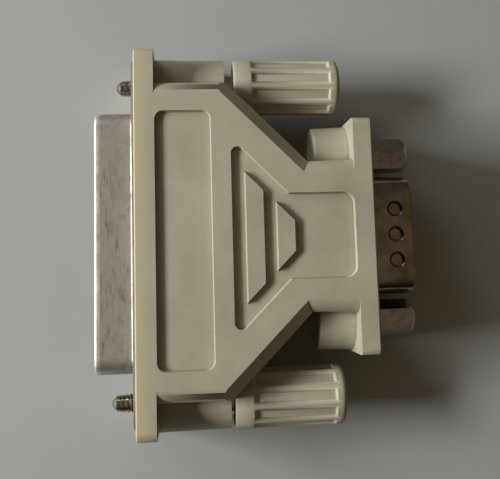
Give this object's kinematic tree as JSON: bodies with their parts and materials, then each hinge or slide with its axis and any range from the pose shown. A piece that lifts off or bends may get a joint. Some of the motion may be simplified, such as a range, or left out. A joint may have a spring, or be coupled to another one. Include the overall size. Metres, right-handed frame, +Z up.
{
  "type": "serial adapter",
  "caption": "Slim moulded adapter with a wide D-outline socket at one end, a narrow D-outline plug at the other, and two captive thumbscrews beside its sloping shoulders.",
  "frame": {"origin": "middle of the wide connector's metal flange, on its front face, midway between the thumbscrews", "axes": "+X from the wide connector towards the narrow one, +Y towards the right thumbscrew, +Z up out of the broad upper face"},
  "size_m": [0.0474, 0.0558, 0.0152],
  "materials": {
    "cream_plastic": "fine satin moulding, yellowed with age",
    "tinned_steel": "dull tin plate, scuffed",
    "plated_steel": "darker bright plate",
    "insulator": "plain black moulding",
    "nickel_steel": "nickel plate",
    "spring_steel": "dark spring steel",
    "contact": "thin gold flash",
    "wire": "soft insulation"
  },
  "bodies": {
    "housing": {"upper_cover": "cream_plastic", "lower_cover": "cream_plastic", "front_shell_25": "tinned_steel", "rear_shell_25": "tinned_steel", "insulator_25": "insulator", "socket_1": "contact", "socket_2": "contact", "socket_3": "contact", "socket_4": "contact", "socket_5": "contact", "socket_6": "contact", "socket_7": "contact", "socket_8": "contact", "socket_9": "contact", "socket_10": "contact", "socket_11": "contact", "socket_12": "contact", "socket_13": "contact", "socket_14": "contact", "socket_15": "contact", "socket_16": "contact", "socket_17": "contact", "socket_18": "contact", "socket_19": "contact", "socket_20": "contact", "socket_21": "contact", "socket_22": "contact", "socket_23": "contact", "socket_24": "contact", "socket_25": "contact", "front_shell_9": "plated_steel", "rear_shell_9": "plated_steel", "insulator_9": "insulator", "pin_1": "contact", "pin_2": "contact", "pin_3": "contact", "pin_4": "contact", "pin_5": "contact", "pin_6": "contact", "pin_7": "contact", "pin_8": "contact", "pin_9": "contact", "jack_nuts": "nickel_steel", "trapped_nuts": "nickel_steel", "wire_1": "wire", "wire_2": "wire", "wire_3": "wire", "wire_4": "wire", "wire_5": "wire", "wire_6": "wire", "wire_7": "wire", "wire_8": "wire", "wire_9": "wire"},
    "right_carrier": {"right_clip": "spring_steel"},
    "right_thumbscrew": {"right_screw": "nickel_steel", "right_knob": "cream_plastic"},
    "left_carrier": {"left_clip": "spring_steel"},
    "left_thumbscrew": {"left_screw": "nickel_steel", "left_knob": "cream_plastic"}
  },
  "joints": [
    {"name": "right_slide", "type": "slide", "parent": "housing", "child": "right_carrier", "axis": [1, 0, 0], "range_m": [-0.0013, 0.0024]},
    {"name": "right_turn", "type": "hinge", "parent": "right_carrier", "child": "right_thumbscrew", "pos_m": [0.0235, 0.02352, 0], "axis": [1, 0, 0], "continuous": true},
    {"name": "left_slide", "type": "slide", "parent": "housing", "child": "left_carrier", "axis": [1, 0, 0], "range_m": [-0.00045, 0.00325]},
    {"name": "left_turn", "type": "hinge", "parent": "left_carrier", "child": "left_thumbscrew", "pos_m": [0.0235, -0.02352, 0], "axis": [1, 0, 0], "continuous": true}
  ]
}
